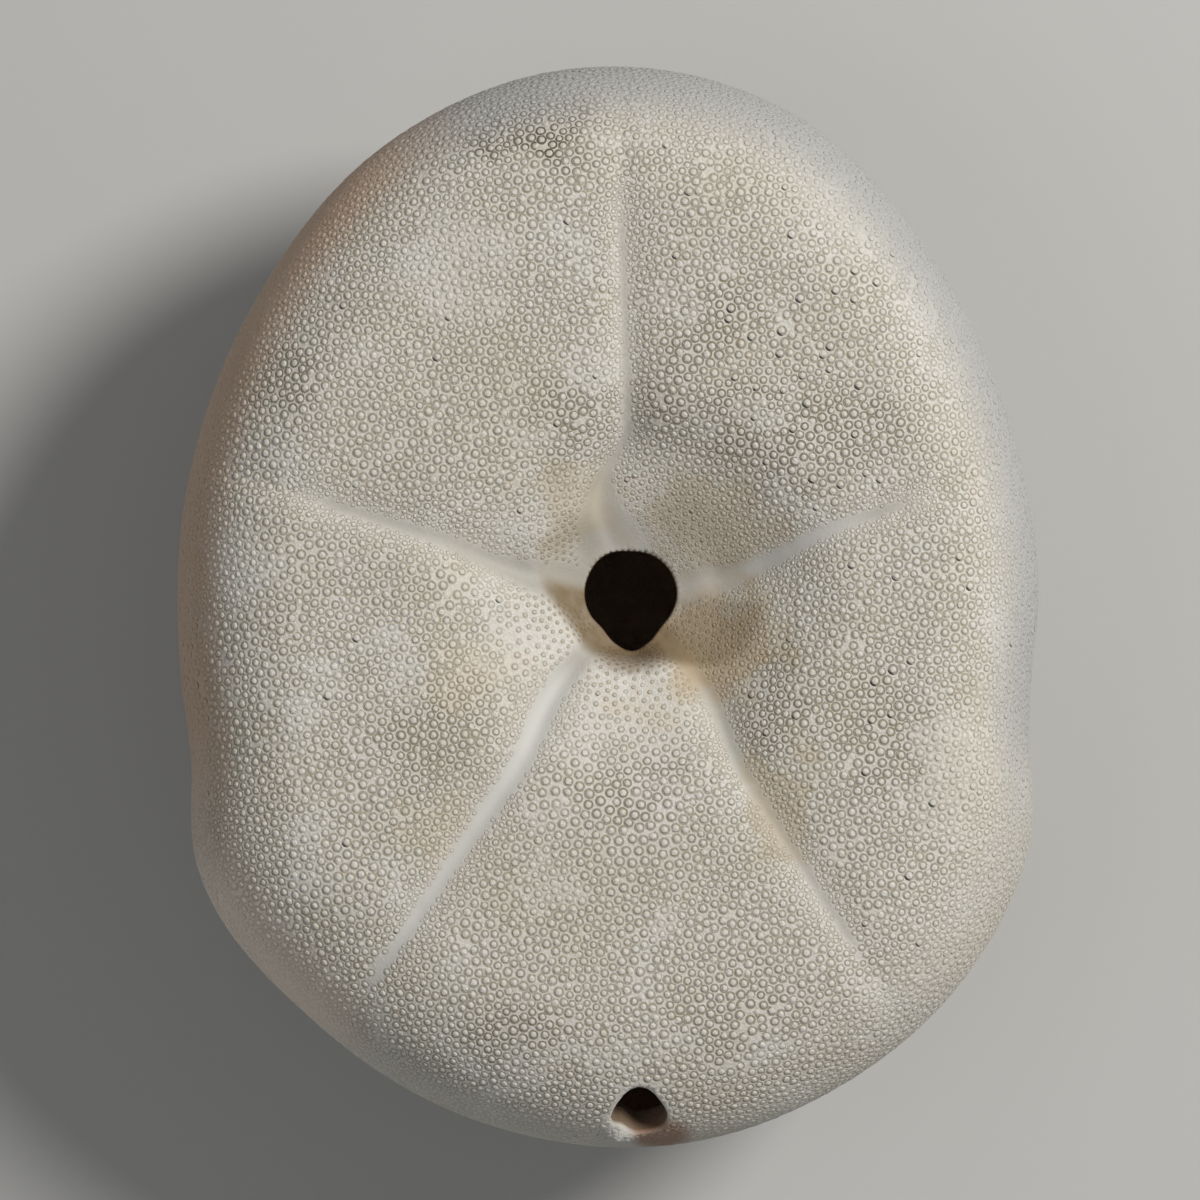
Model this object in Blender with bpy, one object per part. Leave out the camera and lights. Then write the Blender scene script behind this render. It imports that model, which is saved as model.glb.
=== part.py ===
"""Sea biscuit: the hollow skeleton of an inflated clypeasteroid, lying on its dome with the oral face up.

+Z is up, +Y points to the front of the animal, +X to the right as seen from above. The origin is below the
middle of the bounding box. Lengths in the constants are millimetres and are turned into metres at the end.
"""

import math

import bmesh
import bpy
import numpy as np

HEIGHT = 46.6          # from the middle of the dome to the flat of the oral pads
EDGE_DROP = 14.0       # from the pads down to the widest level
EDGE_START = 0.72      # share of the rim radius at which the pads start to round over
MOUTH_AT = (2.8, 1.1)  # the mouth lies off the middle of the bounding box
WALL = 2.6             # thickness of the wall away from the mouth
MOUTH_WALL = 1.5       # thickness of the wall at the lip of the mouth

# Outline of the rim as seen from above, as (degrees, radius) about the mouth.
RIM = [
    (0, 45.1), (24, 46.2), (50, 50.8), (73, 57.0), (97, 59.2), (118, 57.4), (142, 53.2), (165, 50.9),
    (189, 50.7), (200, 52.0), (211, 56.4), (233, 58.6), (254, 60.4), (275, 60.7), (293, 58.8), (314, 55.4),
    (329, 51.6), (341, 46.6), (350, 45.1),
]
# The mouth, a shield with an arched top and a blunt point to the rear.
MOUTH = [
    (0, 5.05), (35, 5.35), (65, 5.45), (90, 5.4), (125, 5.8), (150, 5.6), (178, 5.35), (200, 5.05),
    (225, 4.75), (250, 5.4), (270, 5.9), (290, 5.3), (315, 4.6), (340, 4.75),
]
# Where the last steep slope into the mouth begins: straight lips close to it behind, wide slopes in front.
LIP = [
    (13, 14.0), (35, 14.0), (60, 13.5), (80, 12.5), (96, 12.0), (115, 11.6), (137, 12.5), (156, 12.4),
    (168, 10.8), (187, 8.8), (213, 7.8), (229, 8.0), (247, 7.4), (270, 7.2), (293, 7.8), (310, 10.0),
    (326, 13.5), (347, 15.0),
]
# How far that last slope falls: least in front, where the even slope of the bowl runs on to the mouth.
LIP_DEPTH = [
    (13, 1.8), (35, 0.9), (60, 0.7), (90, 1.0), (115, 2.4), (137, 3.4), (165, 3.6), (200, 3.6), (229, 3.6),
    (270, 3.6), (293, 3.4), (310, 3.0), (330, 2.2), (350, 2.0),
]
# Food grooves: direction beside the mouth, direction further out and the radius where it starts to bend, the
# share of full depth, and how wide the clockwise and the other side are.
GROOVES = [
    (13.0, 19.3, 23.0, 0.85, 0.9, 1.1), (110.0, 91.5, 19.0, 0.9, 1.1, 0.6), (167.0, 162.6, 23.0, 1.15, 1.3, 0.55),
    (229.0, 235.8, 23.0, 0.6, 0.6, 0.6), (310.0, 302.6, 23.0, 1.0, 0.6, 1.3),
]

# The bowl round the mouth turns down over the first share of its way in, then slopes evenly.
BOWL_RADIUS, BOWL_TURN = 26.0, 0.35
MOUTH_DEPTH = 9.8      # from the pads down to the lip of the mouth
# Depth of a groove along its way, from the mouth (0) to the rim (1), and its half width.
GROOVE_WAY = [0.0, 0.06, 0.12, 0.2, 0.32, 0.55, 0.8, 0.93, 1.0]
GROOVE_DEPTH = [0.2, 0.8, 1.9, 2.4, 1.8, 1.1, 0.6, 0.15, 0.0]
GROOVE_WIDTH = [2.5, 3.2, 4.0, 4.6, 4.6, 4.2, 3.6, 3.2, 3.0]

PETAL_LENGTH = 0.66    # share of the rim radius
PETAL_WIDTH = 10.5     # half width at the widest
PETAL_RISE = 2.0
APEX_RADIUS, APEX_DEPTH = 7.0, 0.4

VENT_AT, VENT_SIZE, VENT_TILT = (3.6, -56.1), (3.2, 4.4), 48.0

COLUMNS, CAVITY_COLUMNS = 90, 40


def smooth(x):
    x = np.clip(x, 0.0, 1.0)
    return x * x * (3.0 - 2.0 * x)


def through(at, value, x):
    """Smooth curve through the values at the given places."""
    at, value = np.asarray(at, float), np.asarray(value, float)
    slope = np.gradient(value, at)
    i = np.clip(np.searchsorted(at, x, side="right") - 1, 0, len(at) - 2)
    step = at[i + 1] - at[i]
    t = (x - at[i]) / step
    return (value[i] * (1 + 2 * t) * (1 - t) ** 2 + step * slope[i] * t * (1 - t) ** 2
            + value[i + 1] * t * t * (3 - 2 * t) + step * slope[i + 1] * t * t * (t - 1))


def closed_curve(points, degrees):
    """Smooth closed curve through (degrees, value) pairs."""
    at, value = np.array(points, float).T
    at = np.concatenate([at[-2:] - 360.0, at, at[:2] + 360.0])
    value = np.concatenate([value[-2:], value, value[:2]])
    return through(at, value, np.mod(np.asarray(degrees, float) - points[0][0], 360.0) + points[0][0])


def rim(angle):
    return closed_curve(RIM, np.degrees(angle))


def mouth(angle):
    return closed_curve(MOUTH, np.degrees(angle))


def lip(angle):
    return closed_curve(LIP, np.degrees(angle))


def bend(radius, start):
    """Share by which a groove leans to its direction beside the mouth."""
    return smooth((start - radius) / (start - 10.0))


def oral_height(angle, radius):
    edge = rim(angle)
    way = np.clip(radius / edge, 0.0, 1.0)
    turn = np.clip((way - EDGE_START) / (1.0 - EDGE_START), 0.0, 1.0)
    drop = EDGE_DROP * (1.0 - np.sqrt(1.0 - turn ** 2))
    hole, shoulder = mouth(angle), lip(angle)
    fall = closed_curve(LIP_DEPTH, np.degrees(angle))
    inward = np.clip((BOWL_RADIUS - radius) / (BOWL_RADIUS - hole), 0.0, 1.0)
    inward = np.where(inward < BOWL_TURN, inward ** 2 / (2 * BOWL_TURN), inward - BOWL_TURN / 2)
    bowl = (MOUTH_DEPTH - fall) * inward / (1 - BOWL_TURN / 2)
    steep = fall * smooth((shoulder + 0.4 - radius) / (shoulder + 0.4 - hole))
    along = np.clip((radius - hole) / (edge - hole), 0.0, 1.0)
    depth = np.maximum(through(GROOVE_WAY, GROOVE_DEPTH, along), 0.0)
    width = through(GROOVE_WAY, GROOVE_WIDTH, along)
    groove = 0.0
    for inner, outer, start, share, low, high in GROOVES:
        away = angle - np.radians(outer + (inner - outer) * bend(radius, start))
        side = radius * np.sin(away)
        side = side / (width * np.where(side < 0.0, low, high))
        profile = 0.6 * np.exp(-side ** 2) + 0.4 * np.exp(-(side / 0.4) ** 2)
        groove = groove + share * depth * np.where(np.cos(away) > 0.0, profile, 0.0)
    return HEIGHT - drop - bowl - steep - groove


def dome_height(angle, way):
    """Height of the dome at a share of the rim radius."""
    edge = rim(angle)
    base = (HEIGHT - EDGE_DROP) * (1.0 - np.sqrt(1.0 - np.clip(way, 0.0, 1.0) ** 2.35))
    radius = way * edge
    rise = 0.0
    for _, outer, *_ in GROOVES:
        away = angle - math.radians(outer)
        ahead, side = radius * np.cos(away), np.abs(radius * np.sin(away))
        u = np.clip(ahead / (PETAL_LENGTH * edge), 0.0, 1.4)
        half = PETAL_WIDTH * np.interp(u, [0.0, 0.15, 0.35, 0.6, 0.85, 1.0, 1.4],
                                       [0.16, 0.42, 0.78, 1.0, 0.86, 0.5, 0.4])
        fade = smooth(u / 0.3) * smooth((1.12 - u) / 0.3)
        crest = PETAL_RISE * np.clip(1.0 - (side / (0.72 * half)) ** 2, 0.0, 1.0)
        furrow = 0.7 * np.exp(-((side - 0.92 * half) / 1.7) ** 2)
        rise = rise + np.where(ahead > 0.0, fade * (crest - furrow), 0.0)
    centre = APEX_DEPTH * smooth(1.0 - radius / APEX_RADIUS)
    return base - rise + centre


def place(angle, radius, way=1.0):
    """Plan position; the dome's middle is below the middle of the bounding box, not below the mouth."""
    return np.stack([MOUTH_AT[0] * way + radius * np.cos(angle), MOUTH_AT[1] * way + radius * np.sin(angle)], -1)


def columns(count, radius=99.0):
    """Directions of the mesh columns at a radius, closer together beside the grooves."""
    start = np.array([math.radians(g[1] + (g[0] - g[1]) * float(bend(radius, g[2]))) for g in GROOVES])
    each = count // len(GROOVES)
    share = np.arange(each) / each
    share = share - 0.42 * np.sin(2 * np.pi * share) / (2 * np.pi)
    out = []
    for k in range(len(GROOVES)):
        end = start[k + 1] if k + 1 < len(GROOVES) else start[0] + 2 * np.pi
        out.append(start[k] + share * (end - start[k]))
    return np.concatenate(out)


def outer_rings():
    """Every ring of the outside, from the middle of the mouth over the rim to the middle of the dome."""
    rings = []
    for f in (-0.6, -0.2, 0.18, 0.5, 0.8, 1.0):
        angle = columns(COLUMNS, 10.0)
        rings.append((angle, mouth(angle) + f * (lip(angle) - mouth(angle))))
    for f in (0.12, 0.3, 0.52, 0.76, 1.0):
        angle = columns(COLUMNS, 9.0 + 15.0 * f)
        rings.append((angle, lip(angle) + f * (BOWL_RADIUS - lip(angle))))
    for f in (0.3, 0.62, 1.0):
        angle = columns(COLUMNS)
        rings.append((angle, BOWL_RADIUS + f * (EDGE_START * rim(angle) - BOWL_RADIUS)))
    for f in (16, 31, 46, 60, 75, 90):
        turn = EDGE_START + (1.0 - EDGE_START) * math.sin(math.radians(f))
        angle = columns(COLUMNS)
        rings.append((angle, turn * rim(angle)))
    rows = [np.column_stack([place(a, r), oral_height(a, r)]) for a, r in rings]
    angle = columns(COLUMNS)
    for way in (0.992, 0.965, 0.925, 0.875, 0.82, 0.76, 0.7, 0.64, 0.57, 0.5, 0.43, 0.36, 0.29, 0.22, 0.15, 0.08):
        rows.append(np.column_stack([place(angle, way * rim(angle), way), dome_height(angle, way)]))
    return rows


def offset_height(height, angle, radius, wall, sign):
    """Height of the surface that keeps a distance of one wall from the given one."""
    x, y = radius * np.cos(angle), radius * np.sin(angle)
    best = None
    for reach in (0.0, 0.35, 0.7, 0.9, 1.0):
        for turn in np.radians(np.arange(0, 360, 30 if reach else 360)):
            px, py = x + reach * wall * np.cos(turn), y + reach * wall * np.sin(turn)
            a = np.arctan2(py, px)
            r = np.minimum(np.hypot(px, py), rim(a))
            z = height(a, r) - sign * wall * math.sqrt(1.0 - reach ** 2)
            best = z if best is None else (np.minimum(best, z) if sign > 0 else np.maximum(best, z))
    return best


def cavity_rings():
    rows = []
    angle = columns(CAVITY_COLUMNS)
    inside = rim(angle) - WALL
    for radius in (3.0, 6.5, 9.0, 12.0, 16.0, 21.0, 27.0):
        wall = MOUTH_WALL + (WALL - MOUTH_WALL) * float(smooth((radius - 6.0) / 8.0))
        spot = np.full_like(angle, radius)
        rows.append(np.column_stack([place(angle, spot), offset_height(oral_height, angle, spot, wall, 1)]))
    for way in (0.68, 0.8, 0.9, 0.97, 1.0):
        spot = way * inside
        rows.append(np.column_stack([place(angle, spot), offset_height(oral_height, angle, spot, WALL, 1)]))
    for way in (0.94, 0.84, 0.72, 0.58, 0.42, 0.25, 0.1):
        spot = way * inside
        z = offset_height(lambda a, r: dome_height(a, r / rim(a)), angle, spot, WALL, -1)
        rows.append(np.column_stack([place(angle, spot, way), z]))
    return rows


def body_from_rings(name, rows, collection, origin):
    """A sphere whose rings are moved to the given ones and whose poles close them."""
    count = len(rows[0])
    mesh = bmesh.new()
    bmesh.ops.create_uvsphere(mesh, u_segments=count, v_segments=len(rows) + 1, radius=1.0)
    mesh.verts.ensure_lookup_table()
    for vert in list(mesh.verts):
        x, y, z = vert.co
        if abs(z) > 0.9999999:
            row = rows[0] if z > 0 else rows[-1]
            middle = row.mean(axis=0)
            middle[2] += 0.0 if z > 0 else -0.02
            point = middle
        else:
            ring = round(math.acos(z) / math.pi * (len(rows) + 1)) - 1
            column = round(math.atan2(y, x) / (2 * math.pi) * count) % count
            point = rows[ring][column]
        vert.co = (point - origin) / 1000
    bmesh.ops.triangulate(mesh, faces=mesh.faces[:])
    bmesh.ops.recalc_face_normals(mesh, faces=mesh.faces[:])
    return add_object(name, mesh, collection)


def add_object(name, mesh, collection):
    data = bpy.data.meshes.new(name)
    mesh.to_mesh(data)
    mesh.free()
    item = bpy.data.objects.new(name, data)
    collection.objects.link(item)
    return item


def prism(name, outline_low, outline_high, collection, origin):
    """A closed prism between two outlines of the same count, both given in millimetres."""
    mesh = bmesh.new()
    low = [mesh.verts.new((p - origin) / 1000) for p in outline_low]
    high = [mesh.verts.new((p - origin) / 1000) for p in outline_high]
    count = len(low)
    mesh.faces.new(low[::-1])
    mesh.faces.new(high)
    for i in range(count):
        j = (i + 1) % count
        mesh.faces.new((low[i], low[j], high[j], high[i]))
    bmesh.ops.triangulate(mesh, faces=mesh.faces[:])
    bmesh.ops.recalc_face_normals(mesh, faces=mesh.faces[:])
    return add_object(name, mesh, collection)


def cut(body, tool):
    step = body.modifiers.new(tool.name, "BOOLEAN")
    step.operation = "DIFFERENCE"
    step.solver = "EXACT"
    step.object = tool


# Empty scene and the two collections
for item in list(bpy.data.objects):
    bpy.data.objects.remove(item, do_unlink=True)
scene = bpy.context.scene
shown = bpy.data.collections.new("sea_biscuit")
tools = bpy.data.collections.new("cutters")
scene.collection.children.link(shown)
scene.collection.children.link(tools)

# The outside: oral face with its funnel and five food grooves, rounded rim, dome with five raised petals
outer = outer_rings()
points = np.concatenate(outer)
origin = (points.min(axis=0) + points.max(axis=0)) / 2
origin[2] = points[:, 2].min()
shell = body_from_rings("shell", outer, shown, origin)

# The hollow inside, one wall away from the outside
cavity = body_from_rings("cavity", cavity_rings(), tools, origin)

# The mouth: slightly wider above than below
turn = np.linspace(0, 2 * np.pi, 30, endpoint=False)
wide, narrow = mouth(turn) + 0.25, mouth(turn) - 0.35
top, low = place(turn, wide), place(turn, narrow)
mouth_hole = prism("mouth_hole", np.column_stack([low, np.full(30, 26.0)]),
                   np.column_stack([top, np.full(30, 46.0)]), tools, origin)

# The anal opening: oval, square to the slope of the rim behind
turn = np.linspace(0, 2 * np.pi, 18, endpoint=False)
lean = math.radians(VENT_TILT)
axis = np.array([0.0, -math.sin(lean), math.cos(lean)])
up = np.array([0.0, math.cos(lean), math.sin(lean)])
reach = math.hypot(VENT_AT[0] - MOUTH_AT[0], VENT_AT[1] - MOUTH_AT[1])
toward = math.atan2(VENT_AT[1] - MOUTH_AT[1], VENT_AT[0] - MOUTH_AT[0])
spot = np.array([*VENT_AT, float(oral_height(np.array(toward), np.array(reach)))])
oval = (VENT_SIZE[0] * np.cos(turn)[:, None] * np.array([1.0, 0.0, 0.0])
        + VENT_SIZE[1] * np.sin(turn)[:, None] * up)
vent = prism("vent_hole", spot + oval * 0.9 - axis * 8.0, spot + oval * 1.04 + axis * 4.0, tools, origin)

for tool in (cavity, mouth_hole, vent):
    cut(shell, tool)
    tool.display_type = "WIRE"
    tool.hide_render = True

# Cream calcite, dry and matt
calcite = bpy.data.materials.new("calcite")
calcite.use_nodes = True
surface = calcite.node_tree.nodes["Principled BSDF"]
surface.inputs["Base Color"].default_value = (0.48, 0.45, 0.39, 1.0)
surface.inputs["Roughness"].default_value = 0.8
shell.data.materials.append(calcite)
for polygon in shell.data.polygons:
    polygon.use_smooth = True
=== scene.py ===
import math

import bmesh
import bpy
import numpy as np
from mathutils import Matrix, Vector, geometry, kdtree


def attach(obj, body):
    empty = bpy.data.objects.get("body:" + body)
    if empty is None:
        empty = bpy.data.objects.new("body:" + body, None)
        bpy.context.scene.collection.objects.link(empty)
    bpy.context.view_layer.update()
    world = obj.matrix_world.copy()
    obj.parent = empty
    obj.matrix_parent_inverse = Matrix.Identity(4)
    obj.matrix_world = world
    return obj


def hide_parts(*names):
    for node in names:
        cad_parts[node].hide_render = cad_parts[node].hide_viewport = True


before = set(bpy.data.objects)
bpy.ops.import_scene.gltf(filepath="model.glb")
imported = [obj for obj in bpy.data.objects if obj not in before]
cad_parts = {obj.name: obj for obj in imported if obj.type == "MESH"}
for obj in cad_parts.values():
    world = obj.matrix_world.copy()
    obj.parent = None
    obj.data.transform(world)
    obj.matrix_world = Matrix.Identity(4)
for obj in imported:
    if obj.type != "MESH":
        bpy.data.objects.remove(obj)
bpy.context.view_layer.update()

# The form of the shell
# One grown, hollow piece of calcite lying on its dome. The oral face is up: five pads between food grooves
# sink into a funnel round the mouth. Lengths here are millimetres, as in the solid of the same form.
pads_level, rim_drop, rim_start = 46.6, 14.0, 0.72
mouth_at = np.array([2.8, 1.1])
rim_outline = [
    (0, 45.1), (24, 46.2), (50, 50.8), (73, 57.0), (97, 59.2), (118, 57.4), (142, 53.2), (165, 50.9),
    (189, 50.7), (200, 52.0), (211, 56.4), (233, 58.6), (254, 60.4), (275, 60.7), (293, 58.8), (314, 55.4),
    (329, 51.6), (341, 46.6), (350, 45.1),
]
mouth_outline = [
    (0, 5.05), (35, 5.35), (65, 5.45), (90, 5.4), (125, 5.8), (150, 5.6), (178, 5.35), (200, 5.05),
    (225, 4.75), (250, 5.4), (270, 5.9), (290, 5.3), (315, 4.6), (340, 4.75),
]
lip_outline = [
    (13, 14.0), (35, 14.0), (60, 13.5), (80, 12.5), (96, 12.0), (115, 11.6), (137, 12.5), (156, 12.4),
    (168, 10.8), (187, 8.8), (213, 7.8), (229, 8.0), (247, 7.4), (270, 7.2), (293, 7.8), (310, 10.0),
    (326, 13.5), (347, 15.0),
]
lip_depth = [
    (13, 1.8), (35, 0.9), (60, 0.7), (90, 1.0), (115, 2.4), (137, 3.4), (165, 3.6), (200, 3.6), (229, 3.6),
    (270, 3.6), (293, 3.4), (310, 3.0), (330, 2.2), (350, 2.0),
]
bowl_radius, mouth_depth, bowl_turn = 26.0, 9.8, 0.35
# Each food groove: direction beside the mouth, direction further out and the radius where it starts to bend,
# share of full depth, half width of its bare bed beside the mouth and further out, how far out the bed is
# bare, and how wide the slopes on its two sides are.
grooves = [
    (13.0, 19.3, 23.0, 0.85, 1.8, 0.8, 0.74, 0.9, 1.1),
    (110.0, 91.5, 19.0, 0.9, 4.6, 0.42, 0.8, 1.1, 0.6),
    (167.0, 162.6, 23.0, 1.15, 2.6, 0.8, 0.76, 1.3, 0.55),
    (229.0, 235.8, 23.0, 0.6, 1.2, 0.95, 0.92, 0.6, 0.6),
    (310.0, 302.6, 23.0, 1.0, 1.0, 0.6, 0.86, 0.6, 1.3),
]
groove_way = [0.0, 0.06, 0.12, 0.2, 0.32, 0.55, 0.8, 0.93, 1.0]
groove_depth = [0.2, 0.8, 1.9, 2.4, 1.8, 1.1, 0.6, 0.15, 0.0]
groove_width = [2.5, 3.2, 4.0, 4.6, 4.6, 4.2, 3.6, 3.2, 3.0]
crease_share, crease_width = 0.4, 0.4
petal_length, petal_width, petal_rise, petal_crest = 0.66, 10.5, 2.0, 0.72
petal_way = [0.0, 0.15, 0.35, 0.6, 0.85, 1.0, 1.4]
petal_share = [0.16, 0.42, 0.78, 1.0, 0.86, 0.5, 0.4]
pore_line, furrow_depth, furrow_width = 0.92, 0.7, 1.7
dome_fullness, apex_radius, apex_depth = 2.35, 7.0, 0.4


def shown(name, data):
    """A new object in the scene."""
    item = bpy.data.objects.new(name, data)
    bpy.context.scene.collection.objects.link(item)
    return item


def smooth(x):
    x = np.clip(x, 0.0, 1.0)
    return x * x * (3.0 - 2.0 * x)


def through(at, value, x):
    """Smooth curve through the values at the given places."""
    at, value = np.asarray(at, float), np.asarray(value, float)
    slope = np.gradient(value, at)
    i = np.clip(np.searchsorted(at, x, side="right") - 1, 0, len(at) - 2)
    step = at[i + 1] - at[i]
    t = (x - at[i]) / step
    return (value[i] * (1 + 2 * t) * (1 - t) ** 2 + step * slope[i] * t * (1 - t) ** 2
            + value[i + 1] * t * t * (3 - 2 * t) + step * slope[i + 1] * t * t * (t - 1))


def closed_curve(points, degrees):
    """Smooth closed curve through (degrees, value) pairs."""
    at, value = np.array(points, float).T
    at = np.concatenate([at[-2:] - 360.0, at, at[:2] + 360.0])
    value = np.concatenate([value[-2:], value, value[:2]])
    return through(at, value, np.mod(np.asarray(degrees, float) - points[0][0], 360.0) + points[0][0])


def rim(angle):
    return closed_curve(rim_outline, np.degrees(angle))


def mouth(angle):
    return closed_curve(mouth_outline, np.degrees(angle))


def groove_sides(angle, radius):
    """For each groove: distance to its middle line, whether it lies on this side of the mouth, its values."""
    for inner, outer, start, share, near, far, end, low, high in grooves:
        lean = smooth((start - radius) / (start - 10.0))
        away = angle - np.radians(outer + (inner - outer) * lean)
        side = radius * np.sin(away)
        yield side, np.cos(away) > 0.0, share, (near, far, end), np.where(side < 0.0, low, high)


def oral_height(angle, radius):
    edge, hole = rim(angle), mouth(angle)
    shoulder = closed_curve(lip_outline, np.degrees(angle)) + 0.4
    turn = np.clip((radius / edge - rim_start) / (1.0 - rim_start), 0.0, 1.0)
    drop = rim_drop * (1.0 - np.sqrt(1.0 - turn ** 2))
    fall = closed_curve(lip_depth, np.degrees(angle))
    inward = np.clip((bowl_radius - radius) / (bowl_radius - hole), 0.0, 1.0)
    inward = np.where(inward < bowl_turn, inward ** 2 / (2 * bowl_turn), inward - bowl_turn / 2)
    bowl = (mouth_depth - fall) * inward / (1 - bowl_turn / 2)
    steep = fall * smooth((shoulder - radius) / (shoulder - hole))
    along = np.clip((radius - hole) / (edge - hole), 0.0, 1.0)
    depth = np.maximum(through(groove_way, groove_depth, along), 0.0)
    width = through(groove_way, groove_width, along)
    sunk = 0.0
    for side, ahead, share, _, wide in groove_sides(angle, radius):
        u = side / (width * wide)
        cut = (1 - crease_share) * np.exp(-u ** 2) + crease_share * np.exp(-(u / crease_width) ** 2)
        sunk = sunk + share * depth * np.where(ahead, cut, 0.0)
    return pads_level - drop - bowl - steep - sunk


def petal_frame(angle, way):
    """For each petal of the dome: distance along it, distance to its side, and its half width there."""
    edge = rim(angle)
    radius = way * edge
    for _, outer, *_ in grooves:
        away = angle - math.radians(outer)
        ahead = radius * np.cos(away) / (petal_length * edge)
        yield ahead, np.abs(radius * np.sin(away)), petal_width * np.interp(ahead, petal_way, petal_share)


def dome_height(angle, way):
    base = (pads_level - rim_drop) * (1.0 - np.sqrt(1.0 - np.clip(way, 0.0, 1.0) ** dome_fullness))
    rise = 0.0
    for ahead, side, half in petal_frame(angle, way):
        fade = smooth(ahead / 0.3) * smooth((1.12 - ahead) / 0.3)
        crest = petal_rise * np.clip(1.0 - (side / (petal_crest * half)) ** 2, 0.0, 1.0)
        furrow = furrow_depth * np.exp(-((side - pore_line * half) / furrow_width) ** 2)
        rise = rise + np.where(ahead > 0.0, fade * (crest - furrow), 0.0)
    return base - rise + apex_depth * smooth(1.0 - way * rim(angle) / apex_radius)


# The outside is kept as a grid: directions round the mouth by even steps of the way from mouth to dome middle
grid_turns, grid_steps, quarter_steps = 720, 640, 420
grid_angle = np.linspace(0.0, 2 * np.pi, grid_turns + 1)
quarter = np.linspace(0.0, np.pi / 2, quarter_steps)
oral_radius = mouth(grid_angle)[:, None] + (rim(grid_angle) - mouth(grid_angle))[:, None] * np.sin(quarter)
oral_angle = np.repeat(grid_angle[:, None], len(quarter), axis=1)
dome_way = np.repeat(np.cos(quarter)[None, 1:], grid_turns + 1, axis=0)
dome_angle = np.repeat(grid_angle[:, None], len(quarter) - 1, axis=1)
dome_radius = dome_way * rim(dome_angle)
lines = np.concatenate([
    np.stack([mouth_at[0] + oral_radius * np.cos(oral_angle), mouth_at[1] + oral_radius * np.sin(oral_angle),
              oral_height(oral_angle, oral_radius)], -1),
    np.stack([mouth_at[0] * dome_way + dome_radius * np.cos(dome_angle),
              mouth_at[1] * dome_way + dome_radius * np.sin(dome_angle),
              dome_height(dome_angle, dome_way)], -1),
], axis=1)
origin = (lines.min(axis=(0, 1)) + lines.max(axis=(0, 1))) / 2
origin[2] = lines[:, :, 2].min()
lines -= origin
steps = np.linalg.norm(np.diff(lines, axis=1), axis=2)
run = np.concatenate([np.zeros((grid_turns + 1, 1)), np.cumsum(steps, axis=1)], axis=1)
length = run[:, -1]
widest_share = run[:, len(quarter) - 1] / length
even = np.linspace(0.0, 1.0, grid_steps + 1)
surface = np.empty((grid_turns + 1, grid_steps + 1, 3))
for turn in range(grid_turns + 1):
    for axis in range(3):
        surface[turn, :, axis] = np.interp(even * length[turn], run[turn], lines[turn, :, axis])


def look_up(table, angle, share=None):
    """Value of a table over direction, or over direction and share of the way, between its entries."""
    a = np.mod(angle, 2 * np.pi) / (2 * np.pi) * grid_turns
    i = np.minimum(a.astype(int), grid_turns - 1)
    fa = a - i
    if share is None:
        return table[i] * (1 - fa) + table[i + 1] * fa
    b = np.clip(share, 0.0, 1.0) * grid_steps
    j = np.minimum(b.astype(int), grid_steps - 1)
    fb = (b - j)[:, None]
    fa = fa[:, None]
    near = table[i, j] * (1 - fb) + table[i, j + 1] * fb
    far = table[i + 1, j] * (1 - fb) + table[i + 1, j + 1] * fb
    return near * (1 - fa) + far * fa


def tangents(angle, share):
    """Directions of the surface round the mouth and along the way to the dome's middle."""
    turn_step, way_step = 0.008, 0.003
    low, high = np.clip(share - way_step, 0.0, 1.0), np.clip(share + way_step, 0.0, 1.0)
    before, after = look_up(surface, angle - turn_step, share), look_up(surface, angle + turn_step, share)
    onward = (look_up(surface, angle, high) - look_up(surface, angle, low)) / (high - low)[:, None]
    return (after - before) / (2 * turn_step), onward


def unit(v):
    return v / np.maximum(np.linalg.norm(v, axis=-1, keepdims=True), 1e-9)


def mouth_radius_of(points):
    return np.hypot(points[:, 0] + origin[0] - mouth_at[0], points[:, 1] + origin[1] - mouth_at[1])


def bareness(angle, points, share):
    """1 in the smooth bed of a groove and round the mouth in front, 0 among the tubercles."""
    radius = mouth_radius_of(points)
    along = np.clip(radius / rim(angle), 0.0, 1.0)
    bare = np.zeros(len(angle))
    for side, ahead, _, (near, far, end), _ in groove_sides(angle, radius):
        width = far * np.interp(along / end, [0.3, 0.6, 0.85, 1.0], [1.5, 1.0, 0.75, 0.45])
        width = width + (near - 1.5 * far) * np.clip((15.0 - radius) / 9.0, 0.0, 1.0)
        here = smooth(1.5 - np.abs(side) / width) * smooth((end - along) / 0.1)
        bare = np.maximum(bare, np.where(ahead, here, 0.0))
    return np.where(share < look_up(widest_share, angle), bare, 0.0)


def groove_gap(angle, radius):
    """Distance to the nearest groove's bare bed."""
    gap = np.full(len(angle), 99.0)
    for side, ahead, _, (_, half, _), _ in groove_sides(angle, radius):
        gap = np.minimum(gap, np.where(ahead, np.abs(side) - half, 99.0))
    return np.maximum(gap, 0.0)


# The places of the tubercles, packed over the outside
# Each tubercle is a boss in a sunken ring, close to its neighbours, larger on the pads than by the grooves.
rng = np.random.default_rng(18)
pad_spacing, edge_spacing, groove_spacing, funnel_spacing, dome_spacing = 1.13, 1.0, 0.6, 0.95, 1.95
seam_below_rim, seam_spacing = 2.5, 1.33
# The anal opening: middle, slope of the shell there, half width, height above and below the middle
vent_at, vent_slope = np.array([3.6, -56.1]), math.radians(48.0)
vent_half, vent_high, vent_low = 3.2, 4.4, 3.0


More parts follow.
